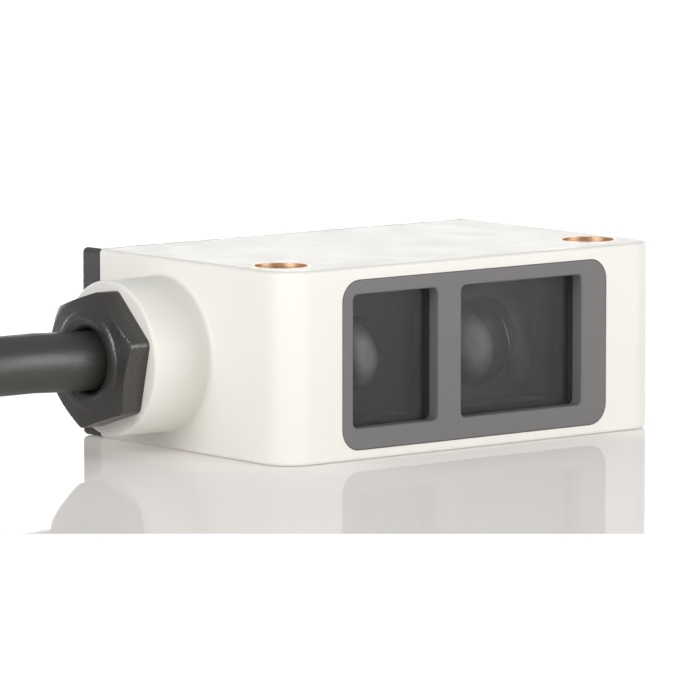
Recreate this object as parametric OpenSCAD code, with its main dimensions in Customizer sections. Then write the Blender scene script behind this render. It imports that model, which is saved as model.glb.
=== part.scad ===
// Compact rectangular photoelectric sensor with a pre-wired cable.
// The sensor lies on one of its two broad mounting faces. X runs along the two optical
// windows, away from the cable gland, -Y is the way the windows look, +Z is up.
// The origin is midway between the two mounting holes, on the mounting face below them.

/* [Housing] */
// Length of the housing along the windows, without the gland
body_l = 41; // [40:0.1:44]
// Depth of the white housing, front face to rear cover
body_d = 25; // [24.5:0.1:26]
// Thickness of the housing between its two mounting faces
body_t = 16; // [15.8:0.1:17]
// Radius of the housing's two front corners
front_r = 2.8; // [1.5:0.1:3]
// Radius of the rear cover's two rear corners
rear_r = 0.5; // [0.3:0.1:1]
// Wall thickness round the electronics
wall = 1.5; // [1.2:0.1:1.6]

/* [Mounting holes] */
// Distance between the two hole axes
hole_spacing = 33.6; // [33.4:0.1:34]
// Distance of the hole axes behind the front face
hole_setback = 5.1; // [5:0.1:5.4]
// Clear bore of each metal sleeve, for an M4 screw
hole_d = 4.5; // [4.3:0.1:4.6]
// Outside diameter of each metal sleeve
sleeve_d = 4.9; // [4.8:0.05:5.3]

/* [Front frame and windows] */
// Length of the grey front frame
frame_l = 28.9; // [28:0.1:29]
// Height of the grey front frame
frame_h = 14.2; // [13.6:0.1:14.4]
// Corner radius of the front frame
frame_r = 1.8; // [0.8:0.1:2.2]
// Distance of the frame's end from the gland end of the housing
frame_x = 6.05; // [6:0.05:6.3]
// Height of both window openings
window_h = 11.1; // [10.6:0.1:11.4]
// Length of the small, emitter window opening
emitter_window_l = 9.1; // [8.6:0.1:9.4]
// Length of the large, receiver window opening
receiver_window_l = 13.3; // [12.8:0.1:13.6]
// Width of the frame's strip on the gland side
strip_l = 1.2; // [1:0.1:1.4]
// Width of the rib between the windows
rib_l = 2.5; // [2.3:0.1:2.8]
// How far the smoked panels lie behind the front face
window_recess = 1.2; // [0.8:0.1:1.3]
// Thickness of the smoked panels
panel_t = 1.2; // [1:0.1:1.3]

/* [Cable gland] */
// Distance of the cable axis behind the front face
gland_y = 16; // [15.5:0.1:17]
// Radius of the round boss that holds the gland
boss_r = 6.5; // [6.3:0.1:6.6]
// How far the boss stands out
boss_l = 5.9; // [5.5:0.1:6.5]
// Radius of the hollow fillet at the foot of the boss
boss_fillet = 0.4; // [0.3:0.1:1]
// Width across the flats of the gland nut
nut_af = 10.4; // [10:0.1:11]
// Thickness of the gland nut's head
nut_t = 2.5; // [2:0.1:3]
// Turn of the gland nut about the cable axis, in degrees
nut_turn = 47; // [0:1:59]

/* [Cable] */
// Outside diameter of the cable
cable_d = 5; // [4.8:0.1:5]
// Diameter of each coloured core
core_d = 1.1; // [1:0.05:1.15]

/* [Rear cover and adjusters] */
// Thickness of the dark rear cover
cover_t = 2.6; // [2.4:0.1:3]
// Diameter of the two slotted adjusters
adjuster_d = 3.6; // [3.4:0.1:4]
// Place of the sensitivity adjuster along the housing
sensitivity_x = 25; // [24:0.5:27]
// Place of the light-on or dark-on selector along the housing
selector_x = 33; // [32:0.5:34]
// Place of the power indicator along the housing
power_x = 10; // [8:0.5:12]
// Place of the output indicator along the housing
output_x = 15; // [14:0.5:18]

/* [Hidden] */

$fn = 72;
eps = 0.01;              // overlap of a cut past the face that it opens
fit = 0.05;              // clearance between pieces that only rest in each other

mid_z = body_t / 2;
hole_x = (body_l - hole_spacing) / 2;
frame_z = (body_t - frame_h) / 2 - 0.1;
frame_t = window_recess + panel_t;
window_z = 2.65;
emitter_x = frame_x + strip_l;
receiver_x = emitter_x + emitter_window_l + rib_l;
window_r = 0.5;
panel_lip = 0.6;         // how far a panel reaches behind its opening on each side

tunnel_x = 7.3;          // optics tunnel between the two screw columns
tunnel_l = body_l - 2 * tunnel_x;
room_y = 8.7;            // start of the wide room for the electronics

holder_back = 18;
lens_seat_y = 6.5;       // flat back of both lenses
lens_plate_t = 1;
emitter_lens_l = 8;
receiver_lens_l = 11.4;
lens_h = 9.8;
lens_rise = 1.7;         // height of the lens domes over their plates
emitter_dome_r = 3.2;    // radius of each dome's rim
receiver_dome_r = 3.9;
emitter_mid = emitter_x + emitter_window_l / 2;
receiver_mid = receiver_x + receiver_window_l / 2;
emitter_hole = [3.4, 3.4];
receiver_hole = [4.6, 4.6];
chamber_wall = 1;

board_y = 20;
board_t = 1;
board_back = board_y + board_t;
board_x = 2.6;
board_l = body_l - 2 * board_x;
board_z = 2.4;
board_h = body_t - 2 * board_z;

lip_gap = 0.9;           // room for the gasket round the cover's lip
lip_t = 1.1;
lip_l = 2.2;
peg_r = 0.8;
adjuster_sink = 0.4;     // adjusters lie this far below the cover's face
adjuster_r = adjuster_d / 2;
adjuster_foot = 23.5;
groove_r = 1.3;
groove_y = 25.7;
groove_l = 0.8;
seal_r = 0.24;           // section radius of the adjusters' O-rings
spigot_r = 0.8;
trimmer_size = 5;
switch_size = 4.6;
pipe_r = 1.1;

boss_bore_r = 4.4;
nut_bore_r = cable_d / 2 + 0.15;
shank_l = 3.3;
washer_t = 0.4;
seal_l = 2.5;
gland_bore_depth = shank_l + washer_t + seal_l + 3 * fit;
jacket_entry = 2.5;      // the jacket ends this far inside the housing
nut_chamfer = 0.8;
mouth_r = 3.7;           // bell mouth round the cable
mouth_l = 0.9;

// The cable leaves the gland straight, sinks to the surface and bends aside to its hank.
cable_row_y = gland_y - hole_setback;
straight_end_x = -38;
sink_l = 26;             // run in which the cable sinks to the hank's lowest layer
bend_l = 42;             // run in which it bends aside
lead_rise = 0.2;
lead_end_x = -66;        // where the lead is inside the hank's outline

// The rest of the cable is folded into a hank of long loops. A place on a loop is counted in
// legs: 0 to 1 the straight side near the gland, 1 to 2 the far bend, 2 to 3 the other side,
// 3 to 4 the near bend.
hank_near_x = -80;       // middle of the near bends
hank_y = 23;
hank_straight = 35;      // length of the straight sides
hank_z = 0.8;            // thickness of the ties that the hank rests on
hank_r = 25;             // outermost bend, at the middle of the cable
hank_wide = 4;           // loops side by side
hank_high = 3;           // layers of loops
tail_r = hank_r - (hank_wide - 1) * cable_d;
tail_z = hank_z + (hank_high - 0.5) * cable_d;
tail_start = 1.5;
tail_end = 2.6;
core_lie_z = tail_z - cable_d / 2 + core_d / 2;
core_tips = [3.85, 3.65, 3.75, 3.55];
bare_l = 5;
bare_r = 0.3;
tie_w = 3.6;
tie_t = 0.8;
tie_x = -101;

// ---------------------------------------------------------------- shared shapes

// Puts a piece drawn from the housing's front gland corner into the part's frame.
module place() {
    translate([-body_l / 2, -hole_setback, 0]) children();
}

// Rectangle with its own radius at the two front and the two rear corners.
module plan(l, d, rf, rr) {
    difference() {
        square([l, d]);
        for (side = [0, 1]) translate([side * l, 0]) mirror([side, 0]) {
            corner_cut(rf);
            translate([0, d]) mirror([0, 1]) corner_cut(rr);
        }
    }
}

module corner_cut(r) {
    if (r > 0) difference() {
        translate([-eps, -eps]) square(r + eps);
        translate([r, r]) circle(r);
    }
}

// Rectangular bar along Y with rounded edges, from one corner and its size.
module bar(at, size, r) {
    translate([at[0], at[1] + size[1], at[2]])
        rotate([90, 0, 0]) linear_extrude(size[1]) plan(size[0], size[2], r, r);
}

// Round bar along Y, from the middle of its front face.
module rod(at, r, l) {
    translate(at) rotate([-90, 0, 0]) cylinder(r = r, h = l);
}

// Round bar along X, starting at x and running outwards (-X) for l on the cable axis.
module axle(x, r, l) {
    translate([x, gland_y, mid_z]) rotate([0, -90, 0]) cylinder(r = r, h = l);
}

// Body of revolution on the cable axis, its profile's second axis pointing outwards.
module gland_turned() {
    translate([0, gland_y, mid_z]) rotate([0, -90, 0]) rotate_extrude() children();
}

function unit(v) = v / norm(v);
function tangent(p, i) = unit(p[min(i + 1, len(p) - 1)] - p[max(i - 1, 0)]);
function ring(c, t, r, n) =
    let (a = unit(cross(t, [0, 0, 1])), b = cross(a, t))
    [for (k = [0 : n - 1]) c + r * (cos(360 * k / n) * a + sin(360 * k / n) * b)];

// Tube swept along a list of points.
module tube(path, r, sides) {
    last = len(path) - 1;
    polyhedron(
        points = [for (i = [0 : last]) each ring(path[i], tangent(path, i), r, sides)],
        faces = concat(
            [[for (k = [sides - 1 : -1 : 0]) k]],
            [[for (k = [0 : sides - 1]) last * sides + k]],
            [for (i = [0 : last - 1], k = [0 : sides - 1], half = [0, 1])
                let (a = i * sides, b = a + sides, m = (k + 1) % sides)
                half == 0 ? [a + k, a + m, b + m] : [a + k, b + m, b + k]]),
        convexity = 6);
}

// Point of the hank at a place counted in legs, bend radius r and height z.
function hank_point(place, r, z) =
    let (leg = min(floor(place), 3), s = place - leg, far_x = hank_near_x - hank_straight)
    leg == 0 ? [hank_near_x - s * hank_straight, hank_y - r, z] :
    leg == 1 ? [far_x - r * sin(180 * s), hank_y - r * cos(180 * s), z] :
    leg == 2 ? [far_x + s * hank_straight, hank_y + r, z] :
    [hank_near_x + r * sin(180 * s), hank_y + r * cos(180 * s), z];
function ease(u) = let (v = max(0, min(1, u))) v * v * (3 - 2 * v);

// ---------------------------------------------------------------- housing and front

module housing() {
    color([0.93, 0.93, 0.89]) place() difference() {
        union() {
            linear_extrude(body_t) plan(body_l, body_d, front_r, 0);
            gland_turned() {
                square([boss_r, boss_l]);
                difference() {
                    square([boss_r + boss_fillet, boss_fillet]);
                    translate([boss_r + boss_fillet, boss_fillet]) circle(boss_fillet);
                }
            }
        }
        // room for the electronics, open at the rear
        translate([wall, room_y, wall])
            cube([body_l - 2 * wall, body_d, body_t - 2 * wall]);
        // tunnel for the optics, open at the front
        translate([tunnel_x - fit, -eps, wall])
            cube([tunnel_l + 2 * fit, room_y + 1, body_t - 2 * wall]);
        // seat of the front frame
        bar([frame_x, -1, frame_z], [frame_l, 1 + frame_t, frame_h], frame_r);
        // columns for the two sleeves
        for (x = [hole_x, body_l - hole_x])
            translate([x, hole_setback, -1]) cylinder(d = sleeve_d + fit, h = body_t + 2);
        // gland bore with its shoulder, and the cable's way in
        axle(-boss_l + gland_bore_depth, boss_bore_r, gland_bore_depth + 1);
        axle(wall + 1, cable_d / 2 + 0.2, boss_l + 2);
    }
}

module front_frame() {
    color([0.47, 0.47, 0.48]) place() difference() {
        bar([frame_x + fit, 0, frame_z + fit],
            [frame_l - 2 * fit, frame_t, frame_h - 2 * fit], frame_r);
        for (w = [[emitter_x, emitter_window_l], [receiver_x, receiver_window_l]]) {
            bar([w[0], -1, window_z], [w[1], 1 + frame_t + 1, window_h], window_r);
            bar([w[0] - panel_lip, window_recess, window_z - panel_lip],
                [w[1] + 2 * panel_lip, panel_t + 1, window_h + 2 * panel_lip], window_r);
        }
    }
}

module window_panel(x, l) {
    side = panel_lip - fit;
    color([0.12, 0.11, 0.12]) place()
        bar([x - side, window_recess, window_z - side],
            [l + 2 * side, panel_t, window_h + 2 * side], window_r);
}

module emitter_window() { window_panel(emitter_x, emitter_window_l); }

module receiver_window() { window_panel(receiver_x, receiver_window_l); }

module mounting_sleeve(x) {
    color([0.72, 0.45, 0.27]) place() translate([x, hole_setback, 0]) difference() {
        cylinder(d = sleeve_d, h = body_t);
        translate([0, 0, -1]) cylinder(d = hole_d, h = body_t + 2);
    }
}

module mounting_sleeve_left() { mounting_sleeve(hole_x); }

module mounting_sleeve_right() { mounting_sleeve(body_l - hole_x); }

// ---------------------------------------------------------------- optics

// Pocket, light chamber and rear hole of one channel of the holder.
module channel(mid, lens_l, hole) {
    bar([mid - lens_l / 2 - fit, 0, mid_z - lens_h / 2 - fit],
        [lens_l + 2 * fit, lens_seat_y, lens_h + 2 * fit], 0.4);
    bar([mid - lens_l / 2 + chamber_wall, 1, mid_z - lens_h / 2 + chamber_wall],
        [lens_l - 2 * chamber_wall, 13, lens_h - 2 * chamber_wall], 0.4);
    translate([mid - hole[0] / 2, 1, mid_z - hole[1] / 2]) cube([hole[0], 20, hole[1]]);
}

module optics_holder() {
    post = 1.6;
    color([0.08, 0.08, 0.08]) place() {
        difference() {
            translate([tunnel_x, frame_t + fit, wall + fit])
                cube([tunnel_l, holder_back - frame_t - fit, body_t - 2 * wall - 2 * fit]);
            channel(emitter_mid, emitter_lens_l, emitter_hole);
            channel(receiver_mid, receiver_lens_l, receiver_hole);
        }
        for (x = [tunnel_x, tunnel_x + tunnel_l - post], z = [board_z, body_t - board_z - post])
            translate([x, holder_back - eps, z])
                cube([post, board_y - holder_back, post]);
    }
}

// Lens with a square plate and a spherical dome, whose rim has radius r, towards the front.
module lens(mid, l, r) {
    dome_y = lens_seat_y - lens_plate_t;
    sphere_r = (r * r + lens_rise * lens_rise) / (2 * lens_rise);
    color([0.75, 0.8, 0.82]) place() {
        bar([mid - l / 2, dome_y, mid_z - lens_h / 2], [l, lens_plate_t, lens_h], 0.4);
        intersection() {
            translate([mid, dome_y + sphere_r - lens_rise, mid_z]) sphere(sphere_r);
            translate([mid - r - 1, 0, mid_z - r - 1]) cube([2 * r + 2, dome_y + eps, 2 * r + 2]);
        }
    }
}

module emitter_lens() { lens(emitter_mid, emitter_lens_l, emitter_dome_r); }

module receiver_lens() { lens(receiver_mid, receiver_lens_l, receiver_dome_r); }

module emitter_led() {
    color([0.85, 0.2, 0.2]) place() {
        translate([emitter_mid - 1.5, board_y - 1, mid_z - 1.5]) cube([3, 1, 3]);
        translate([emitter_mid, board_y - 1, mid_z]) rotate([90, 0, 0]) {
            cylinder(r = 1.2, h = 0.8);
            translate([0, 0, 0.8]) intersection() {
                sphere(1.2);
                cylinder(r = 2, h = 2);
            }
        }
    }
}

module receiver_photodiode() {
    color([0.1, 0.1, 0.12]) place() {
        translate([receiver_mid - 2.2, board_y - 1.2, mid_z - 2]) cube([4.4, 1.2, 4]);
        translate([receiver_mid, board_y - 1.2, mid_z]) rotate([90, 0, 0])
            cylinder(r = 1.3, h = 0.3);
    }
}

module shield_can() {
    size = [9.4, 1.8, 9];
    sheet = 0.2;
    color([0.75, 0.76, 0.78]) place()
        translate([receiver_mid - size[0] / 2, board_y - size[1], mid_z - size[2] / 2])
            difference() {
                cube(size);
                translate([sheet, sheet, sheet]) cube([size[0] - 2 * sheet, 5, size[2] - 2 * sheet]);
                translate([size[0] / 2, 1, size[2] / 2]) rotate([90, 0, 0]) cylinder(r = 1.8, h = 2);
            }
}

// ---------------------------------------------------------------- electronics

module main_board() {
    color([0.1, 0.38, 0.2]) place() difference() {
        translate([board_x, board_y, board_z]) cube([board_l, board_t, board_h]);
        for (p = lead_pads) rod([p[0], board_y - 1, p[1]], 0.5, 3);
    }
}

module signal_chip() {
    color([0.12, 0.12, 0.13]) place() {
        translate([16.4, board_back, 5]) cube([4.9, 1, 6]);
        for (i = [0 : 7], s = [-1, 1])
            translate([18.85 + s * 2.75 - 0.35, board_back, 5.3 + i * 0.7]) cube([0.7, 0.3, 0.35]);
    }
}

module board_components() {
    color([0.55, 0.42, 0.3]) place() {
        // resistors and capacitors in two rows on the rear face
        for (i = [0 : 4], z = [3, 12.4])
            translate([7.2 + i * 2.6, board_back, z]) cube([1.6, 0.6, 0.8]);
        // output transistors near the cable's cores
        for (z = [4, 9]) translate([7.1, board_back, z]) cube([1.6, 1, 2.9]);
        // amplifier capacitors on the front face
        for (x = [17.2, 35], z = [4, 9]) translate([x, board_y - 0.8, z]) cube([1.2, 0.8, 2]);
    }
}

module indicator_leds() {
    color([0.9, 0.9, 0.7]) place()
        for (x = [power_x, output_x])
            translate([x - 0.8, board_back, mid_z - 0.4]) cube([1.6, 0.7, 0.8]);
}

lead_pads = [[5.6, 10.4], [5.6, 8.8], [5.6, 7.2], [5.6, 5.6]];
lead_starts = [[0.75, 0.75], [-0.75, 0.75], [0.75, -0.75], [-0.75, -0.75]];

// Path of internal lead i, from the end of the cable's jacket to its pad on the board.
function lead_path(i) =
    let (y = gland_y + lead_starts[i][0], z = mid_z + lead_starts[i][1], pad = lead_pads[i],
        rise = pad[1] - z, run = board_y - fit - y)
    [[jacket_entry, y, z], [3.3, y, z + 0.05 * rise], [4.1, y + 0.06 * run, z + 0.2 * rise],
        [4.8, y + 0.2 * run, z + 0.42 * rise], [5.3, y + 0.42 * run, z + 0.68 * rise],
        [5.55, y + 0.7 * run, z + 0.92 * rise], [pad[0], y + run, pad[1]]];

module lead(i) { place() tube(lead_path(i), core_d / 2 - 0.1, 8); }

module lead_brown() { color([0.35, 0.2, 0.1]) lead(0); }

module lead_white() { color([0.9, 0.9, 0.88]) lead(1); }

module lead_blue() { color([0.1, 0.25, 0.65]) lead(2); }

module lead_black() { color([0.06, 0.06, 0.06]) lead(3); }

// ---------------------------------------------------------------- rear cover

module rear_cover() {
    lip = wall + lip_gap;
    color([0.24, 0.24, 0.25]) place() difference() {
        union() {
            translate([0, body_d, 0]) cover_plate();
            translate([lip, body_d - lip_l, lip])
                cube([body_l - 2 * lip, lip_l + eps, body_t - 2 * lip]);
        }
        translate([lip + lip_t, body_d - lip_l - 1, lip + lip_t])
            cube([body_l - 2 * (lip + lip_t), lip_l + 1, body_t - 2 * (lip + lip_t)]);
        for (x = [sensitivity_x, selector_x])
            rod([x, body_d - 1, mid_z], adjuster_r + fit, cover_t + 2);
        for (x = [power_x, output_x])
            rod([x, body_d - 1, mid_z], pipe_r + fit, cover_t + 2);
    }
    color([0.24, 0.24, 0.25]) place()
        for (x = [6.2, body_l - 6.2], z = [4.6, body_t - 4.6])
            rod([x, board_back + fit, z], peg_r, body_d - board_back);
}

module cover_plate() {
    linear_extrude(body_t) plan(body_l, cover_t, 0, rear_r);
}

module cover_gasket() {
    color([0.1, 0.1, 0.1]) place() difference() {
        translate([wall + fit, body_d - 1.1, wall + fit])
            cube([body_l - 2 * (wall + fit), 1, body_t - 2 * (wall + fit)]);
        translate([wall + lip_gap - fit, body_d - 2, wall + lip_gap - fit])
            cube([body_l - 2 * (wall + lip_gap - fit), 3, body_t - 2 * (wall + lip_gap - fit)]);
    }
}

module light_pipe(x) {
    foot = board_back + 0.9;
    place() {
        rod([x, foot, mid_z], pipe_r, body_d + cover_t - foot);
        rod([x, body_d - 0.9, mid_z], pipe_r + 0.5, 0.8);
    }
}

module power_light_pipe() { color([0.35, 0.75, 0.35]) light_pipe(power_x); }

module output_light_pipe() { color([0.95, 0.55, 0.15]) light_pipe(output_x); }

module turned_base(x, size) {
    foot = adjuster_foot - fit;
    place() difference() {
        translate([x - size / 2, board_back, mid_z - size / 2])
            cube([size, foot - board_back, size]);
        rod([x, board_back + 0.6, mid_z], spigot_r + fit, 4);
    }
}

module sensitivity_trimmer() { color([0.15, 0.3, 0.6]) turned_base(sensitivity_x, trimmer_size); }

module selector_switch() { color([0.2, 0.2, 0.22]) turned_base(selector_x, switch_size); }

// Slotted rotor with a groove for its O-ring and a spigot into its base.
module rotor(x, slot_l) {
    top = body_d + cover_t - adjuster_sink;
    place() difference() {
        union() {
            rod([x, adjuster_foot, mid_z], adjuster_r, top - adjuster_foot);
            rod([x, board_back + 0.8, mid_z], spigot_r, adjuster_foot - board_back);
        }
        translate([x, groove_y, mid_z]) rotate([-90, 0, 0]) difference() {
            cylinder(r = adjuster_r + 1, h = groove_l);
            translate([0, 0, -1]) cylinder(r = groove_r, h = groove_l + 2);
        }
        translate([x - slot_l / 2, top - 0.5, mid_z - 0.3]) cube([slot_l, 1, 0.6]);
    }
}

module sensitivity_adjuster() { color([0.92, 0.92, 0.9]) rotor(sensitivity_x, 2.8); }

module mode_selector() { color([0.92, 0.92, 0.9]) rotor(selector_x, 2.4); }

module adjuster_seals() {
    color([0.05, 0.05, 0.05]) place()
        for (x = [sensitivity_x, selector_x])
            translate([x, groove_y + groove_l / 2, mid_z]) rotate([-90, 0, 0])
                rotate_extrude() translate([(groove_r + adjuster_r + fit) / 2, 0])
                    circle(seal_r, $fn = 24);
}

// ---------------------------------------------------------------- cable gland

module gland_nut() {
    across = nut_af / cos(30);
    color([0.07, 0.07, 0.07]) place() difference() {
        union() {
            intersection() {
                translate([-boss_l, gland_y, mid_z]) rotate([0, -90, 0]) rotate([0, 0, nut_turn])
                    cylinder(d = across, h = nut_t, $fn = 6);
                translate([-boss_l, 0, 0]) gland_turned() difference() {
                    square([across, nut_t]);
                    translate([across / 2 - nut_chamfer, nut_t]) rotate(-30)
                        square([across, across]);
                }
            }
            axle(-boss_l + shank_l, boss_bore_r - fit, shank_l + 0.5);
        }
        axle(2, nut_bore_r, boss_l + 10);
        translate([-boss_l - nut_t, gland_y, mid_z]) rotate([0, 90, 0])
            cylinder(r1 = mouth_r, r2 = nut_bore_r, h = mouth_l);
    }
}

module gland_ring(x, r, l) {
    place() difference() {
        axle(x, boss_bore_r - fit, l);
        axle(x + 1, r, l + 2);
    }
}

module gland_washer() {
    color([0.75, 0.73, 0.6])
        gland_ring(-boss_l + shank_l + fit + washer_t, nut_bore_r, washer_t);
}

module gland_seal() {
    color([0.12, 0.12, 0.12])
        gland_ring(-boss_l + gland_bore_depth - fit, cable_d / 2 + 0.02, seal_l);
}

// ---------------------------------------------------------------- cable and its hank

module cable() {
    straight = [for (x = [-18, -22, -26, -30]) [x, cable_row_y, mid_z]];
    level = [for (x = [-34, straight_end_x]) [x, cable_row_y, mid_z + lead_rise]];
    lead = [for (x = [straight_end_x - 4 : -4 : lead_end_x])
        let (past = straight_end_x - x, fall = mid_z + lead_rise - hank_z - cable_d / 2)
        [x, cable_row_y - (cable_row_y - hank_y + hank_r) * ease(past / bend_l),
            mid_z + lead_rise - fall * ease(past / sink_l)]];
    color([0.16, 0.16, 0.16]) tube(concat(straight, level, lead), cable_d / 2, 12);
}

// Outline of a loop of bend radius r.
module loop(r) {
    translate([hank_near_x - hank_straight / 2, hank_y]) {
        square([hank_straight, 2 * r], center = true);
        for (side = [-1, 1]) translate([side * hank_straight / 2, 0]) circle(r);
    }
}

// The loops as one ring, with a ledge at the top of its inside where the last loop is missing.
module cable_coil() {
    inner = tail_r - cable_d / 2;
    high = hank_high * cable_d;
    color([0.16, 0.16, 0.16]) translate([0, 0, hank_z]) difference() {
        linear_extrude(high) loop(hank_r + cable_d / 2);
        translate([0, 0, -1]) linear_extrude(high + 2) loop(inner);
        translate([0, 0, high - cable_d]) linear_extrude(cable_d + 1) loop(inner + cable_d);
    }
}

module cable_tail() {
    bend = [for (place = [tail_start : 0.1 : 2]) hank_point(place, tail_r, tail_z)];
    run = [for (place = [2.2 : 0.2 : tail_end]) hank_point(place, tail_r, tail_z)];
    color([0.16, 0.16, 0.16]) tube(concat(bend, run), cable_d / 2 - fit, 8);
}

// Path of core i: out of the jacket as one of four, then side by side on the ledge,
// the two lower cores first.
function core_path(i, from, to, step) =
    let (start_r = tail_r + (i % 2 == 0 ? 0.75 : -0.75), start_z = tail_z + (i < 2 ? 0.75 : -0.75),
        order = [3, 1, 2, 0][i], lie_r = tail_r - 2 + order * 1.3, spread = i < 2 ? 0.6 : 0.3)
    [for (place = [from : step : to + eps]) let (u = ease((place - tail_end) / spread))
        hank_point(place, start_r + u * (lie_r - start_r),
            start_z + u * (core_lie_z - start_z))];

module core(i) {
    inside = 0.05;       // part of a leg that lies inside the jacket
    tube(core_path(i, tail_end - inside, core_tips[i], 0.05), core_d / 2, 8);
}

module core_brown() { color([0.35, 0.2, 0.1]) core(0); }

module core_white() { color([0.9, 0.9, 0.88]) core(1); }

module core_blue() { color([0.1, 0.25, 0.65]) core(2); }

module core_black() { color([0.06, 0.06, 0.06]) core(3); }

module core_ends() {
    legs = bare_l / (PI * tail_r);
    color([0.75, 0.72, 0.68])
        for (i = [0 : 3]) tube(core_path(i, core_tips[i], core_tips[i] + legs, legs / 2), bare_r, 8);
}

// Flat ties round both straight sides of the hank, each with its square lock on the inside.
module coil_ties() {
    inner = tail_r - cable_d / 2;
    wide = hank_wide * cable_d;
    high = hank_high * cable_d;
    slack = 0.15;
    color([0.9, 0.9, 0.86]) for (side = [0, 1])
        translate([tie_x, hank_y, 0]) mirror([0, side, 0]) {
            translate([-tie_w / 2, inner - tie_t, hank_z - tie_t]) difference() {
                cube([tie_w, wide + 2 * tie_t, high + 2 * tie_t]);
                translate([-1, tie_t - slack, tie_t])
                    cube([tie_w + 2, wide + 2 * slack, high + fit]);
            }
            translate([-2.6, inner - tie_t - 3, hank_z + 3]) cube([5.2, 3 + eps, 5]);
        }
}

// ---------------------------------------------------------------- nodes

housing();
front_frame();
emitter_window();
receiver_window();
optics_holder();
emitter_lens();
receiver_lens();
emitter_led();
receiver_photodiode();
shield_can();
main_board();
signal_chip();
board_components();
indicator_leds();
lead_brown();
lead_white();
lead_blue();
lead_black();
mounting_sleeve_left();
mounting_sleeve_right();
rear_cover();
cover_gasket();
power_light_pipe();
output_light_pipe();
sensitivity_trimmer();
sensitivity_adjuster();
selector_switch();
mode_selector();
adjuster_seals();
gland_nut();
gland_washer();
gland_seal();
cable();
cable_coil();
cable_tail();
coil_ties();
core_brown();
core_white();
core_blue();
core_black();
core_ends();
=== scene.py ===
"""The looks of a compact photoelectric sensor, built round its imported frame.

The sensor lies on one of its two broad faces. Its windows look towards -Y and its cable
leaves through the gland towards -X. Shapes are modelled in millimetres on the frame's own
axes, and each finished piece is written to the scene in metres.
"""

import logging
import math
from dataclasses import dataclass
from enum import Enum
from typing import Any, Callable, Optional, Sequence, Union

import bmesh
import bpy
from mathutils import Matrix, Vector


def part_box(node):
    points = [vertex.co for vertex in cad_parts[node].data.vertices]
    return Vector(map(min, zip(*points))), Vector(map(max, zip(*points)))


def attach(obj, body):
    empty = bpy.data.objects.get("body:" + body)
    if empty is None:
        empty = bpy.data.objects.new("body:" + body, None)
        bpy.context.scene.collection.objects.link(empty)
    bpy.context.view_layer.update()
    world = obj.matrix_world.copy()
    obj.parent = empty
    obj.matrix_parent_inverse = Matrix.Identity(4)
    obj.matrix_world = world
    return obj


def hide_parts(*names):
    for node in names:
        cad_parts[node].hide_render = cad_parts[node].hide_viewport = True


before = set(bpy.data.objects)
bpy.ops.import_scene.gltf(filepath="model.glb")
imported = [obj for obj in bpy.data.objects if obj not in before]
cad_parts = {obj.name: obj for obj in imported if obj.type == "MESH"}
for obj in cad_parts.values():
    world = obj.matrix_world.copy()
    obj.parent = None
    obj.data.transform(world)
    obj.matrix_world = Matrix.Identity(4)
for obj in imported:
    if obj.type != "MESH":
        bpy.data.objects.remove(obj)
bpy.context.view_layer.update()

LOG = logging.getLogger("sensor")
MM = 0.001
TINY = 1e-4
HAIR = 0.001
PAST = 1.0
SMOOTH_UNDER = 38
X, Y, Z = 0, 1, 2
AXES = (Vector((1, 0, 0)), Vector((0, 1, 0)), Vector((0, 0, 1)))
SENSOR = "sensor"
SIDES = ("emitter", "receiver")
SLEEVES = ("mounting_sleeve_left", "mounting_sleeve_right")
ADJUSTERS = ("sensitivity_adjuster", "mode_selector")

Colour = tuple[float, float, float]
Point = tuple[float, float, float]
Profile = Sequence[tuple[float, float]]
Pick = Callable[[bmesh.types.BMEdge], bool]


# ------------------------------------------------------------------ shader maths


class Wire:
    """A shader socket that can stand in a sum or a product."""

    def __init__(self, graph: "Graph", socket: Optional[bpy.types.NodeSocket]) -> None:
        """Wraps a socket.

        Args:
            graph: the graph that the socket belongs to.
            socket: an output socket of one of its nodes, or None for the last node.
        """
        self.graph = graph
        self.socket = socket

    def __add__(self, other: "Value") -> "Wire":
        """Sum."""
        return self.graph.math("ADD", self, other)

    def __mul__(self, other: "Value") -> "Wire":
        """Product."""
        return self.graph.math("MULTIPLY", self, other)

    def __sub__(self, other: "Value") -> "Wire":
        """Difference."""
        return self.graph.math("SUBTRACT", self, other)

    def __rsub__(self, other: "Value") -> "Wire":
        """Difference from a number."""
        return self.graph.math("SUBTRACT", other, self)

    __radd__ = __add__
    __rmul__ = __mul__


Value = Union[float, Wire]


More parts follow.
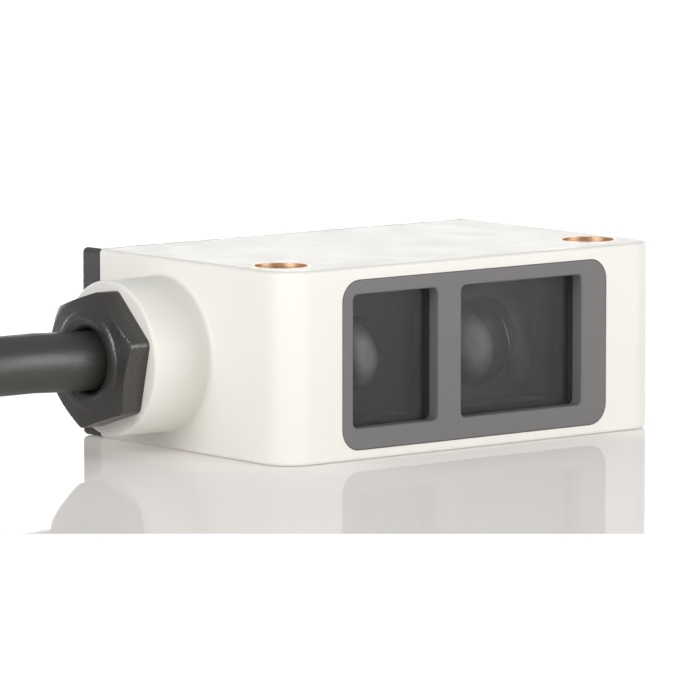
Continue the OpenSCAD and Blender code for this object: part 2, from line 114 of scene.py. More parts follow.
class Graph:
    """The node graph of one material."""

    def __init__(self, name: str) -> None:
        """Starts an empty material.

        Args:
            name: the material's name.
        """
        self.material = bpy.data.materials.new(name)
        self.material.use_nodes = True
        self.tree = self.material.node_tree
        self.tree.nodes.clear()

    def node(
        self,
        kind: str,
        settings: Optional[dict[str, Any]] = None,
        inputs: Optional[dict[Any, Any]] = None,
        output: int = 0,
    ) -> Wire:
        """Adds a node, sets it up and feeds its sockets.

        Args:
            kind: the node's type.
            settings: its properties, set first; "stops" fills a colour ramp.
            inputs: numbers, colours or wires, by socket name or index.
            output: which of its outputs is wanted.

        Returns:
            The wanted output.
        """
        node = self.tree.nodes.new(kind)
        for key, value in (settings or {}).items():
            if key == "stops":
                self._fill_ramp(node.color_ramp, value)
            else:
                setattr(node, key, value)
        for key, value in (inputs or {}).items():
            if isinstance(value, Wire):
                self.tree.links.new(value.socket, node.inputs[key])
            else:
                node.inputs[key].default_value = value
        return Wire(self, node.outputs[output] if len(node.outputs) else None)

    @staticmethod
    def _fill_ramp(ramp: bpy.types.ColorRamp, stops: Sequence[tuple[float, float]]) -> None:
        """Sets a ramp of greys from (position, grey) stops."""
        while len(ramp.elements) < len(stops):
            ramp.elements.new(0.5)
        for element, (position, grey) in zip(ramp.elements, stops):
            element.position = position
            element.color = (grey, grey, grey, 1)

    def math(self, operation: str, *values: Value) -> Wire:
        """Adds a Math node on one or two values."""
        return self.node("ShaderNodeMath", {"operation": operation}, dict(enumerate(values)))

    def vector(self, operation: str, *values: Any, output: int = 0) -> Wire:
        """Adds a Vector Math node on one or two values."""
        inputs = dict(enumerate(values))
        return self.node("ShaderNodeVectorMath", {"operation": operation}, inputs, output)

    def length(self, value: Wire) -> Wire:
        """Gives the length of a vector."""
        return self.vector("LENGTH", value, output=1)

    def place(self) -> Wire:
        """Gives the position on the piece, in metres."""
        return self.node("ShaderNodeTexCoord", output=3)

    def about(self, centre: Sequence[float], turn: Sequence[float] = (0, 0, 0)) -> Wire:
        """Gives the position measured from a centre in metres, turned by Euler angles."""
        shifted = self.vector("SUBTRACT", self.place(), tuple(centre))
        return self.node("ShaderNodeMapping", inputs={"Vector": shifted, "Rotation": turn})

    def noise(self, size: float, detail: float = 2.0, at: Optional[Wire] = None) -> Wire:
        """Adds noise.

        Args:
            size: size of its lumps, in millimetres.
            detail: how many finer layers it has.
            at: the position to read, or the position on the piece.

        Returns:
            Noise from 0 to 1.
        """
        return self.node(
            "ShaderNodeTexNoise",
            inputs={"Vector": at or self.place(), "Scale": 1 / (size * MM), "Detail": detail},
        )

    def ramp(self, value: Wire, *stops: tuple[float, float]) -> Wire:
        """Maps a value through a ramp of greys."""
        return self.node("ShaderNodeValToRGB", {"stops": stops}, {"Fac": value})

    def mix(self, share: Value, first: Any, second: Any) -> Wire:
        """Mixes two colours, each three numbers or a wire."""
        ends = [c if isinstance(c, Wire) else (*c, 1) for c in (first, second)]
        return self.node(
            "ShaderNodeMix",
            {"data_type": "RGBA"},
            {0: share, 6: ends[0], 7: ends[1]},
            output=2,
        )

    def bump(self, height: Wire, relief: float, under: Optional[Wire] = None) -> Wire:
        """Adds a bump.

        Args:
            height: height from 0 to 1.
            relief: height of 1, in millimetres.
            under: a normal that this bump is added to.

        Returns:
            The bent normal.
        """
        inputs: dict[str, Any] = {"Height": height, "Distance": relief * MM, "Strength": 1.0}
        if under is not None:
            inputs["Normal"] = under
        return self.node("ShaderNodeBump", inputs=inputs)

    def finish(self, **inputs: Any) -> bpy.types.Material:
        """Adds the surface shader and closes the graph.

        Args:
            **inputs: its sockets, with an underscore for each space in their names.

        Returns:
            The material.
        """
        named = {key.replace("_", " "): value for key, value in inputs.items()}
        for key, value in named.items():
            if isinstance(value, tuple) and len(value) == 3 and "Radius" not in key:
                named[key] = (*value, 1)
        shader = self.node("ShaderNodeBsdfPrincipled", inputs=named)
        self.node("ShaderNodeOutputMaterial", inputs={"Surface": shader})
        return self.material


# ------------------------------------------------------------------ finishes


@dataclass(frozen=True)
class Finish:
    """A surface finish, made into a material once.

    Attributes:
        slot: the material slot of the record that it belongs to.
        colour: its main colour.
        roughness: its mean roughness.
    """

    slot: str
    colour: Colour
    roughness: float = 0.45

    def material(self) -> bpy.types.Material:
        """Gives the finish's material, made when it is first asked for."""
        found = bpy.data.materials.get(self.name)
        return found or self.shade(Graph(self.name))

    @property
    def name(self) -> str:
        """Name of the material."""
        return f"look_{self.slot}"

    def shade(self, graph: Graph) -> bpy.types.Material:
        """Builds the material in an empty graph."""
        raise NotImplementedError


@dataclass(frozen=True)
class Moulded(Finish):
    """Injection-moulded plastic with a fine grain, flow marks and handling dulls.

    Attributes:
        grain: size of the mould's grain, in millimetres.
        relief: height of the grain, in millimetres.
        mottle: share by which the colour wanders.
        gloss: specular level.
        glow: share of light that scatters under the surface.
    """

    grain: float = 0.2
    relief: float = 0.004
    mottle: float = 0.04
    gloss: float = 0.5
    glow: float = 0.0

    def shade(self, graph: Graph) -> bpy.types.Material:
        """Builds the material in an empty graph."""
        cloud_size, touch_size, wave_size, dulling = 6.0, 2.5, 9.0, 0.08
        darker = tuple(c * (1 - self.mottle) for c in self.colour)
        lighter = tuple(min(1.0, c * (1 + self.mottle)) for c in self.colour)
        cloud, fine = graph.noise(cloud_size, 3.0), graph.noise(self.grain)
        handled = graph.ramp(graph.noise(touch_size, 4.0), (0.35, 0.0), (0.7, 1.0))
        waves = graph.bump(graph.noise(wave_size, 1.0), self.relief * 4)
        return graph.finish(
            Base_Color=graph.mix(cloud * 0.8 + fine * 0.2, darker, lighter),
            Roughness=handled * dulling + (self.roughness - dulling / 2),
            Specular_IOR_Level=self.gloss,
            Subsurface_Weight=self.glow,
            Subsurface_Radius=(1.0, 0.9, 0.75),
            Subsurface_Scale=0.6 * MM,
            Normal=graph.bump(fine, self.relief, waves),
        )


@dataclass(frozen=True)
class SmokedPanel(Finish):
    """Smoked acrylic sheet that lets a little light through, with faint wipe marks.

    Attributes:
        cover: share of what lies behind that the sheet hides.
    """

    cover: float = 0.38

    def shade(self, graph: Graph) -> bpy.types.Material:
        """Builds the material in an empty graph."""
        speck_size, speck_colour, wipe_slant = 0.12, (0.12,) * 3, (0.3, 0.0, 0.9)
        wiped = graph.noise(1.6, 4.0, graph.about((0, 0, 0), wipe_slant))
        dust = graph.ramp(graph.noise(speck_size, 1.0), (0.72, 0.0), (0.8, 1.0))
        return graph.finish(
            Base_Color=graph.mix(dust * 0.25, self.colour, speck_colour),
            Roughness=wiped * 0.08 + dust * 0.1 + self.roughness,
            Alpha=self.cover,
            Normal=graph.bump(graph.noise(4.0, 1.0), 0.004),
        )


@dataclass(frozen=True)
class Glint:
    """A painted highlight in a lens, a soft pale ellipse that leans over.

    Attributes:
        centre: its middle, in metres.
        half_width: half of its width, in millimetres.
        half_height: half of its height, in millimetres.
        strength: share of the lens's pale colour that it takes.
    """

    centre: Point
    half_width: float
    half_height: float
    strength: float


@dataclass(frozen=True)
class Lens(Finish):
    """Clear moulded lens whose colour holds painted highlights, pale places that stand for
    reflections.

    Attributes:
        glints: painted highlights in the two lenses.
        lean: how far they lean over, as an angle.
        dark: colour between them.
        clearness: share of light that passes through.
    """

    # Painted highlights: a lamp's reflection in each dome, a glint along the receiver dome's rim
    # and a faint lighter band beside it.
    glints: Sequence[Glint] = (
        Glint((-0.0087, -0.001, 0.008), 1.5, 3.1, 0.9),
        Glint((0.0035, -0.001, 0.008), 1.6, 3.2, 0.85),
        Glint((0.0070, -0.001, 0.0087), 0.12, 1.6, 1.0),
        Glint((0.0091, -0.001, 0.0080), 1.8, 4.4, 0.2),
    )
    lean: float = 0.3
    dark: Colour = (0.05, 0.05, 0.05)
    clearness: float = 0.1

    def shade(self, graph: Graph) -> bpy.types.Material:
        """Builds the material in an empty graph."""
        # The glints are painted highlights: pale ellipses mixed into the base colour over the dark
        # colour.
        pale = 0.0
        for glint in self.glints:
            size = (glint.half_width * MM, 1.0, glint.half_height * MM)
            leaning = graph.about(glint.centre, (0.0, self.lean, 0.0))
            away = graph.length(graph.vector("DIVIDE", leaning, size))
            pale = graph.ramp(away, (0.35, glint.strength), (1.25, 0.0)) + pale
        # Noise that makes the painted highlights patchy.
        highlight_patches = graph.noise(1.4, 3.0) * 0.5 + 0.75
        return graph.finish(
            Base_Color=graph.mix(pale * highlight_patches, self.dark, self.colour),
            Roughness=graph.noise(1.0, 3.0) * 0.05 + self.roughness,
            IOR=1.49,
            Transmission_Weight=self.clearness,
            Normal=graph.bump(graph.noise(2.0, 1.0), 0.002),
        )


@dataclass(frozen=True)
class ClearMoulding(Finish):
    """Clear or tinted moulded acrylic.

    Attributes:
        clearness: share of light that passes through.
    """

    clearness: float = 1.0

    def shade(self, graph: Graph) -> bpy.types.Material:
        """Builds the material in an empty graph."""
        deeper = tuple(c * 0.92 for c in self.colour)
        return graph.finish(
            Base_Color=graph.mix(graph.noise(3.0), self.colour, deeper),
            Roughness=graph.noise(1.0, 3.0) * 0.04 + self.roughness,
            IOR=1.49,
            Transmission_Weight=self.clearness,
            Normal=graph.bump(graph.noise(2.0, 1.0), 0.002),
        )


class Lay(Enum):
    """The way a metal's tool marks run."""

    ROUND = "round"
    ALONG = "along"
    TWISTED = "twisted"


@dataclass(frozen=True)
class Metal(Finish):
    """Metal with tool marks and a light tarnish.

    Attributes:
        tarnish: colour that the metal dulls to.
        lay: the way the tool marks run.
        pitch: distance between tool marks, in millimetres.
    """

    tarnish: Colour = (0.3, 0.2, 0.12)
    lay: Lay = Lay.ROUND
    pitch: float = 0.12

    def shade(self, graph: Graph) -> bpy.types.Material:
        """Builds the material in an empty graph."""
        stretch = {Lay.ROUND: (0.02, 0.02, 1), Lay.ALONG: (1, 0.02, 1), Lay.TWISTED: (1, 1, 0.3)}
        drawn = graph.vector("MULTIPLY", graph.place(), stretch[self.lay])
        marks = graph.noise(self.pitch, at=drawn)
        dull = graph.ramp(graph.noise(0.8, 5.0), (0.45, 0.0), (0.75, 1.0))
        return graph.finish(
            Base_Color=graph.mix(dull * 0.7, self.colour, self.tarnish),
            Roughness=marks * 0.15 + dull * 0.2 + self.roughness,
            Metallic=1.0,
            Normal=graph.bump(marks, 0.006),
        )


@dataclass(frozen=True)
class CircuitBoard(Finish):
    """Green solder mask over a grid of copper tracks."""

    def shade(self, graph: Graph) -> bpy.types.Material:
        """Builds the material in an empty graph."""
        flat = graph.about((0, 0, 0), (math.pi / 2, 0, 0))
        over_copper = tuple(c * 1.9 for c in self.colour)
        tracks = graph.node(
            "ShaderNodeTexBrick",
            {"offset": 0.37, "squash": 0.8},
            {"Vector": flat, "Scale": 420.0, "Mortar Size": 0.03},
            output=1,
        )
        return graph.finish(
            Base_Color=graph.mix(tracks * 0.6, self.colour, over_copper),
            Roughness=graph.noise(0.5) * 0.1 + self.roughness,
            Normal=graph.bump(tracks, 0.02),
        )


class Look(Enum):
    """The finishes of the sensor, by the record's material slots."""

    HOUSING = Moulded("white_housing", (0.82, 0.805, 0.755), 0.42, 0.35, 0.0015, 0.012, 0.4, 0.12)
    FRAME = Moulded("grey_frame", (0.150, 0.146, 0.145), 0.5, 0.12, 0.004, 0.05)
    PANEL = SmokedPanel("smoked_panel", (0.052, 0.050, 0.051), 0.05)
    OPTICS = Moulded("black_optics", (0.012, 0.012, 0.012), 0.6, 0.1, 0.006, 0.1)
    # The lens's colour is the colour of its painted highlights, which stand for reflections.
    LENS = Lens("clear_lens", (0.95, 0.94, 0.94), 0.08)
    LED = ClearMoulding("led_package", (0.9, 0.85, 0.75), 0.08, 0.6)
    CHIP = Moulded("chip_black", (0.025, 0.025, 0.028), 0.55, 0.05, 0.004, 0.15)
    CAN = Metal("tinned_can", (0.7, 0.7, 0.7), 0.3, (0.4, 0.4, 0.38), Lay.ALONG)
    BOARD = CircuitBoard("circuit_board", (0.02, 0.11, 0.045), 0.3)
    PARTS = Moulded("board_parts", (0.35, 0.25, 0.16), 0.4, 0.1, 0.004, 0.25)
    BROWN = Moulded("core_brown", (0.13, 0.05, 0.02), 0.35, 0.15, 0.004, 0.1)
    WHITE = Moulded("core_white", (0.8, 0.8, 0.76), 0.35, 0.15, 0.004, 0.04)
    BLUE = Moulded("core_blue", (0.02, 0.08, 0.4), 0.35, 0.15, 0.004, 0.1)
    BLACK = Moulded("core_black", (0.015, 0.015, 0.015), 0.35, 0.15, 0.004, 0.1)
    SLEEVE = Metal("sleeve_metal", (0.93, 0.68, 0.47), 0.22, (0.55, 0.32, 0.17))
    COVER = Moulded("dark_cover", (0.05, 0.048, 0.048), 0.28, 0.12, 0.002, 0.06)
    SEAL = Moulded("seal_rubber", (0.02, 0.02, 0.02), 0.7, 0.08, 0.006, 0.1)
    GREEN_PIPE = ClearMoulding("green_pipe", (0.25, 0.8, 0.35), 0.12, 0.5)
    AMBER_PIPE = ClearMoulding("amber_pipe", (0.95, 0.5, 0.1), 0.12, 0.5)
    TRIMMER = Moulded("trimmer_blue", (0.04, 0.11, 0.4), 0.4)
    GLAND = Moulded("black_gland", (0.030, 0.0275, 0.025), 0.3, 0.25, 0.03, 0.5, 0.8)
    WASHER = Moulded("washer_plastic", (0.6, 0.57, 0.45), 0.4)
    JACKET = Moulded("cable_jacket", (0.040, 0.041, 0.037), 0.38, 0.35, 0.014, 0.16, 0.6)
    TIE = Moulded("tie_nylon", (0.75, 0.75, 0.68), 0.3, 0.3, 0.003, 0.05, 0.5, 0.3)
    TINNED = Metal("tinned_copper", (0.75, 0.73, 0.7), 0.3, (0.55, 0.45, 0.35), Lay.TWISTED)
    ADJUSTER = Moulded("adjuster_white", (0.78, 0.77, 0.7), 0.4, 0.2, 0.003, 0.03)

    @property
    def material(self) -> bpy.types.Material:
        """The finish's material."""
        return self.value.material()


# ------------------------------------------------------------------ shapes


@dataclass(frozen=True)
class Box:
    """A box in millimetres."""

    low: Vector
    high: Vector

    @classmethod
    def of(cls, node: str) -> "Box":
        """Gives the box of a node of the frame."""
        low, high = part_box(node)
        return cls(low / MM, high / MM)

    @property
    def centre(self) -> Vector:
        """The box's middle."""
        return (self.low + self.high) / 2

    @property
    def size(self) -> Vector:
        """The box's sides."""
        return self.high - self.low

    def grown(self, amount: float) -> "Box":
        """Gives the box with every side moved out by an amount."""
        by = Vector((amount,) * 3)
        return Box(self.low - by, self.high + by)

    def to(self, axis: int, low: Optional[float] = None, high: Optional[float] = None) -> "Box":
        """Gives the box with its ends on one axis replaced."""
        first, last = self.low.copy(), self.high.copy()
        first[axis] = first[axis] if low is None else low
        last[axis] = last[axis] if high is None else high
        return Box(first, last)


def along(axis: int) -> Pick:
    """Picks the edges that run along an axis."""

    def pick(edge: bmesh.types.BMEdge) -> bool:
        run = (edge.verts[1].co - edge.verts[0].co).normalized()
        return abs(run[axis]) > 1 - TINY

    return pick


def at(axis: int, *places: float) -> Pick:
    """Picks the edges that lie in a plane across an axis, at any of some places."""

    def pick(edge: bmesh.types.BMEdge) -> bool:
        return any(all(abs(v.co[axis] - p) < TINY for v in edge.verts) for p in places)

    return pick


def arc(centre: tuple[float, float], radius: float, start: float, end: float, steps: int) -> list:
    """Gives points along an arc of a profile, its angles in degrees."""
    angles = [math.radians(start + (end - start) * i / steps) for i in range(steps + 1)]
    return [(centre[0] + radius * math.cos(a), centre[1] + radius * math.sin(a)) for a in angles]


def stand(name: str, data: Any) -> bpy.types.Object:
    """Makes an object from its data and links it to the scene."""
    made = bpy.data.objects.new(name, data)
    bpy.context.scene.collection.objects.link(made)
    return made


class Solid:
    """A closed shape under construction, in millimetres."""

    def __init__(self, bm: bmesh.types.BMesh) -> None:
        """Takes over a mesh."""
        self.bm = bm

    @classmethod
    def block(cls, box: Box) -> "Solid":
        """Makes a square block."""
        bm = bmesh.new()
        bmesh.ops.create_cube(bm, size=1)
        bmesh.ops.scale(bm, vec=box.size, verts=bm.verts)
        bmesh.ops.translate(bm, vec=box.centre, verts=bm.verts)
        return cls(bm)

    @classmethod
    def bar(cls, box: Box, axis: int, corner: float, segments: int = 8) -> "Solid":
        """Makes a block whose four edges along an axis are rounded."""
        return cls.block(box).soften(along(axis), corner, segments)

    @classmethod
    def turned(
        cls,
        profile: Profile,
        centre: Sequence[float],
        axis: int,
        steps: int = 64,
        ring: bool = False,
    ) -> "Solid":
        """Turns a profile about an axis, as on a lathe.

        Args:
            profile: (place along the axis, radius) points.
            centre: a point on the axis, anywhere along it.
            axis: the axis that the shape is turned about.
            steps: number of flats round the shape.
            ring: whether the profile is closed and clear of the axis.

        Returns:
            The turned shape.
        """
        bm = bmesh.new()
        middle = Vector(centre)
        middle[axis] = 0.0
        out = AXES[(axis + 1) % 3]
        verts = [bm.verts.new(middle + AXES[axis] * a + out * r) for a, r in profile]
        pairs = list(zip(verts, verts[1:])) + ([(verts[-1], verts[0])] if ring else [])
        edges = [bm.edges.new(pair) for pair in pairs]
        bmesh.ops.spin(
            bm,
            geom=verts + edges,
            cent=middle,
            axis=AXES[axis],
            angle=math.tau,
            steps=steps,
            use_merge=True,
            use_duplicate=False,
        )
        bmesh.ops.remove_doubles(bm, verts=bm.verts, dist=TINY)
        bmesh.ops.recalc_face_normals(bm, faces=bm.faces)
        return cls(bm)

    @classmethod
    def prism(cls, sides: int, radius: float, length: float) -> "Solid":
        """Makes an upright prism about the origin."""
        bm = bmesh.new()
        bmesh.ops.create_cone(
            bm, cap_ends=True, segments=sides, radius1=radius, radius2=radius, depth=length
        )
        return cls(bm)

    @classmethod
    def rod(cls, start: Sequence[float], axis: int, radius: float, length: float) -> "Solid":
        """Makes a plain round rod from the middle of one end."""
        near, far = start[axis], start[axis] + length
        return cls.turned([(near, 0), (near, radius), (far, radius), (far, 0)], start, axis)

    def soften(self, pick: Pick, radius: float, segments: int = 3) -> "Solid":
        """Rounds the picked edges."""
        bmesh.ops.bevel(
            self.bm,
            geom=[e for e in self.bm.edges if pick(e)],
            offset=radius,
            offset_type="OFFSET",
            segments=segments,
            profile=0.5,
            affect="EDGES",
            clamp_overlap=True,
            material=-1,
        )
        return self

    def swung(self, angle: float, axis: str) -> "Solid":
        """Turns the shape about an axis through the origin, by an angle in radians."""
        bmesh.ops.rotate(self.bm, verts=self.bm.verts, matrix=Matrix.Rotation(angle, 3, axis))
        return self

    def moved(self, by: Sequence[float]) -> "Solid":
        """Moves the shape."""
        bmesh.ops.translate(self.bm, verts=self.bm.verts, vec=Vector(by))
        return self

    def mesh(self, name: str) -> bpy.types.Mesh:
        """Writes the shape to a new mesh and gives up its own."""
        mesh = bpy.data.meshes.new(name)
        self.bm.to_mesh(mesh)
        self.bm.free()
        return mesh

    def _with(self, operation: str, others: Sequence["Solid"]) -> "Solid":
        """Combines the shape with others, which are used up."""
        target = stand("shape", self.mesh("shape"))
        tools = [stand("tool", other.mesh("tool")) for other in others]
        for tool in tools:
            step = target.modifiers.new("step", "BOOLEAN")
            step.operation = operation
            step.solver = "EXACT"
            step.object = tool
        evaluated = target.evaluated_get(bpy.context.evaluated_depsgraph_get())
        self.bm = bmesh.new()
        self.bm.from_mesh(evaluated.to_mesh())
        evaluated.to_mesh_clear()
        for spent in (*tools, target):
            bpy.data.meshes.remove(spent.data)
        return self

    def cut(self, *others: "Solid") -> "Solid":
        """Cuts other shapes away."""
        return self._with("DIFFERENCE", others)

    def join(self, *others: "Solid") -> "Solid":
        """Joins other shapes on."""
        return self._with("UNION", others)

    def keep(self, *others: "Solid") -> "Solid":
        """Keeps only what lies in the other shapes too."""
        return self._with("INTERSECT", others)

    def piece(
        self, name: str, look: Look, nodes: Sequence[str], body: str = SENSOR
    ) -> bpy.types.Object:
        """Puts the finished shape into the scene.

        Args:
            name: the piece's name.
            look: its finish.
            nodes: the nodes of the frame that it stands for.
            body: the body that it moves with.

        Returns:
            The new object.
        """
        bm = self.bm
        bmesh.ops.remove_doubles(bm, verts=bm.verts, dist=TINY)
        bmesh.ops.dissolve_degenerate(bm, dist=TINY, edges=bm.edges)
        bmesh.ops.recalc_face_normals(bm, faces=bm.faces)
        bmesh.ops.scale(bm, vec=Vector((MM,) * 3), verts=bm.verts)
        for face in bm.faces:
            face.smooth = True
        limit = math.radians(SMOOTH_UNDER)
        for edge in bm.edges:
            edge.smooth = len(edge.link_faces) == 2 and edge.calc_face_angle(0.0) < limit
        return show(name, self.mesh(name), look, nodes, body)


def show(
    name: str, data: Any, look: Look, nodes: Sequence[str], body: str = SENSOR
) -> bpy.types.Object:
    """Puts a piece into the scene, gives it its finish and ties it to the frame.

    Args:
        name: the piece's name.
        data: its mesh or curve, which holds its place too.
        look: its finish.
        nodes: the nodes of the frame that it stands for.
        body: the body that it moves with.

    Returns:
        The piece.
    """
    piece = stand(name, data)
    piece.data.materials.append(look.material)
    if piece.type == "MESH":
        flat = piece.modifiers.new("even_shading", "WEIGHTED_NORMAL")
        flat.keep_sharp = True
    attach(piece, body)
    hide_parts(*nodes)
    LOG.info("%s stands for %s", piece.name, ", ".join(nodes))
    return piece


# ------------------------------------------------------------------ sub-assemblies


@dataclass
class Housing:
    """White case with the gland's boss, and the metal sleeves of its two screw holes.

    Attributes:
        corner: radius of the two front corners.
        edge: radius of the rims round the two broad faces.
        seam: chamfer at the joint with the rear cover.
        wall: wall thickness round the electronics.
        column: wall between the screw holes and the electronics.
        boss: radius of the gland boss.
        tip_round: radius of the boss's outer rim.
        fillet: radius of the hollow at the foot of the boss.
        cord_bore: radius of the cable's way through the end wall.
        screw: radius of the way through a sleeve.
        clear: clearance round the pieces that the case holds.
    """

    corner: float = 2.8
    edge: float = 0.35
    seam: float = 0.1
    wall: float = 1.5
    column: float = 0.8
    boss: float = 6.5
    tip_round: float = 0.3
    fillet: float = 0.4
    cord_bore: float = 2.7
    screw: float = 2.25
    clear: float = 0.03

    def build(self) -> None:
        """Builds the case and both sleeves."""
        self.case()
        for node in SLEEVES:
            self.sleeve(node)

    def case(self) -> None:
        """Builds the white case."""
        whole = Box.of("housing")
        outer = whole.to(X, low=-whole.high.x)
        gland = Box.of("gland_nut").centre
        shell = Solid.block(outer)
        front = at(Y, outer.low.y)
        rear = at(Y, outer.high.y)
        faces = at(Z, outer.low.z, outer.high.z)
        shell.soften(lambda e: along(Z)(e) and front(e), self.corner, 10)
        shell.soften(lambda e: faces(e) and not rear(e), self.edge, 4)
        shell.soften(rear, self.seam, 1)
        shell.join(self.gland_boss(outer.low.x, whole.low.x, gland))
        shell.cut(*self.rooms(outer), self.gland_bore(outer.low.x, whole.low.x, gland))
        shell.cut(*[self.screw_hole(Box.of(node)) for node in SLEEVES])
        shell.piece("case_moulding", Look.HOUSING, ["housing"])

    def gland_boss(self, wall: float, tip: float, gland: Vector) -> Solid:
        """Gives the round boss, from inside the end wall to its tip."""
        hollow, rounding = self.fillet, self.tip_round
        foot = arc((wall - hollow, self.boss + hollow), hollow, 0, -90, 8)
        rim = arc((tip + rounding, self.boss - rounding), rounding, 90, 180, 5)
        sunk = wall + self.wall / 2
        profile = [(sunk, 0), (sunk, self.boss + hollow), *foot, *rim, (tip, 0)]
        return Solid.turned(profile, gland, X, 96)

    def rooms(self, outer: Box) -> list[Solid]:
        """Gives the shapes of the electronics room, the optics tunnel and the frame's seat."""
        optics = Box.of("optics_holder").grown(self.clear)
        pocket = Box.of("front_frame").grown(self.clear)
        start = Box.of(SLEEVES[0]).high.y + self.column
        return [
            Solid.bar(outer.grown(-self.wall).to(Y, start, outer.high.y + PAST), Y, 0.3, 3),
            Solid.block(optics.to(Y, outer.low.y - PAST, start + PAST)),
            Solid.bar(pocket.to(Y, low=outer.low.y - PAST), Y, Front.corner),
        ]

    def gland_bore(self, wall: float, tip: float, gland: Vector) -> Solid:
        """Gives the stepped bore of the gland."""
        seal = Box.of("gland_seal").grown(self.clear)
        wide, narrow = seal.size.y / 2, self.cord_bore
        start, step, end = tip - PAST, seal.high.x, wall + self.wall + PAST
        steps = [
            (start, 0), (start, wide), (step, wide), (step, narrow), (end, narrow), (end, 0),
        ]
        return Solid.turned(steps, gland, X)

    def screw_hole(self, sleeve: Box) -> Solid:
        """Gives the shape of one screw hole, with its two countersunk rims."""
        flare = 0.02
        radius = sleeve.size.x / 2 + self.clear
        wide = radius + flare
        low, high = sleeve.low.z, sleeve.high.z
        profile = [
            (low - PAST, 0), (low - PAST, wide), (low, wide), (low + flare, radius),
            (high - flare, radius), (high, wide), (high + PAST, wide), (high + PAST, 0),
        ]
        return Solid.turned(profile, sleeve.centre, Z)

    def sleeve(self, node: str) -> None:
        """Builds one metal sleeve."""
        box = Box.of(node)
        outside, inside, chamfer = box.size.x / 2, self.screw, 0.04
        low, high = box.low.z, box.high.z
        profile = [
            (low, inside + chamfer), (low, outside - chamfer), (low + chamfer, outside),
            (high - chamfer, outside), (high, outside - chamfer), (high, inside + chamfer),
            (high - chamfer, inside), (low + chamfer, inside),
        ]
        shape = Solid.turned(profile, box.centre, Z, 72, ring=True)
        shape.piece(f"{node}_turned", Look.SLEEVE, [node])


@dataclass
class Front:
    """Grey frame with both smoked panels and the lenses behind them.

    Attributes:
        corner: radius of the frame's corners.
        edge: rounding of the frame's front rim.
        opening_corner: radius in the corners of the window openings.
        flare: chamfer round an opening.
        lip: how far a panel reaches behind its opening.
        clear: clearance round a panel.
        plate: thickness of a lens's plate.
        rise: height of a lens's dome.
    """

    corner: float = 1.8
    edge: float = 0.12
    opening_corner: float = 0.5
    flare: float = 0.08
    lip: float = 0.55
    clear: float = 0.03
    plate: float = 1.0
    rise: float = 1.7

    def build(self) -> None:
        """Builds the frame, the panels and the lenses."""
        self.bezel()
        for side in SIDES:
            self.panel(side)
            self.lens(side)

    def bezel(self) -> None:
        """Builds the grey frame with its two openings."""
        box = Box.of("front_frame")
        bezel = Solid.bar(box, Y, self.corner).soften(at(Y, box.low.y), self.edge, 3)
        for side in SIDES:
            panel = Box.of(f"{side}_window")
            opening = panel.grown(-self.lip).to(Y, box.low.y - PAST, box.high.y + PAST)
            mouth = opening.grown(self.flare).to(Y, box.low.y - PAST, box.low.y + self.flare)
            seat = panel.grown(self.clear).to(Y, high=box.high.y + PAST)
            tools = [Solid.bar(b, Y, self.opening_corner, 5) for b in (opening, mouth, seat)]
            tools[1].soften(at(Y, mouth.high.y), self.flare - HAIR, 1)
            bezel.cut(*tools)
        bezel.piece("window_frame", Look.FRAME, ["front_frame"])

    def panel(self, side: str) -> None:
        """Builds one smoked panel."""
        box = Box.of(f"{side}_window")
        sheet = Solid.bar(box, Y, self.opening_corner, 5)
        sheet.soften(at(Y, box.low.y, box.high.y), 0.05, 2)
        sheet.piece(f"{side}_panel", Look.PANEL, [f"{side}_window"])

    def lens(self, side: str) -> None:
        """Builds one lens, a square plate with a spherical dome."""
        box = Box.of(f"{side}_lens")
        rim = {"emitter": 3.2, "receiver": 3.9}[side]
        radius = (rim**2 + self.rise**2) / (2 * self.rise)
        reach = math.degrees(math.asin(rim / radius))
        dome = arc((box.low.y + radius, 0), radius, 180, 180 - reach, 24)
        front, sunk = box.high.y - self.plate, box.high.y - self.plate / 2
        plate = Solid.bar(box.to(Y, low=front), Y, 0.4, 4).soften(at(Y, front), 0.1, 2)
        cap = Solid.turned([*dome, (sunk, rim), (sunk, 0)], box.centre, Y, 72)
        plate.join(cap).piece(f"{side}_lens_moulding", Look.LENS, [f"{side}_lens"])


